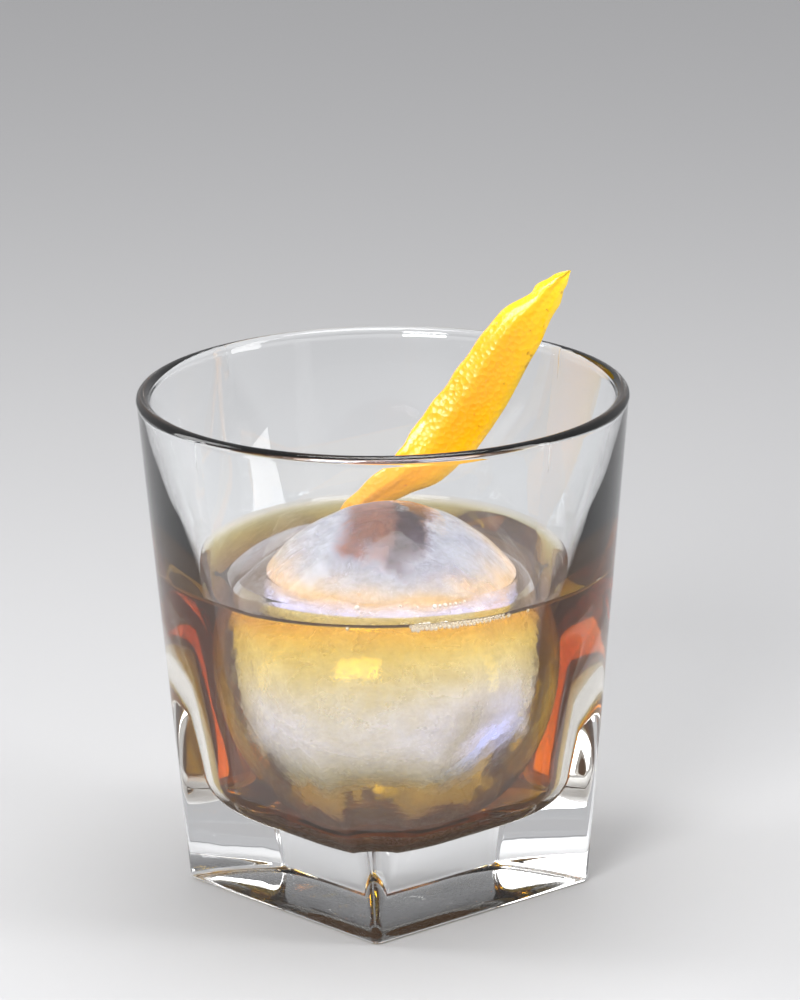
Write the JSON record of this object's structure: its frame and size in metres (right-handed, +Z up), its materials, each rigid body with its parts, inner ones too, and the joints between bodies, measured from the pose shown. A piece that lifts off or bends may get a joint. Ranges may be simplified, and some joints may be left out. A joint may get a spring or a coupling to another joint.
{
  "type": "old fashioned cocktail",
  "caption": "Square-footed glass tumbler with a round rim, holding an amber drink, a large clear ice ball and a strip of orange peel.",
  "frame": {"origin": "middle of the foot, on the table it stands on", "axes": "+Z up along the tumbler's axis; one corner of the square foot points along -Y, the others along +X, +Y and -X"},
  "size_m": [0.0848, 0.0848, 0.102],
  "materials": {
    "clear_glass": "clear fire-polished glass",
    "whiskey": "clear amber liquid",
    "ice": "wet clear ice with a milky middle",
    "orange_zest": "waxy dimpled orange skin over pale pith"
  },
  "bodies": {
    "root": {"tumbler": "clear_glass", "whiskey": "whiskey", "ice_ball": "ice", "orange_peel": "orange_zest"}
  },
  "joints": []
}
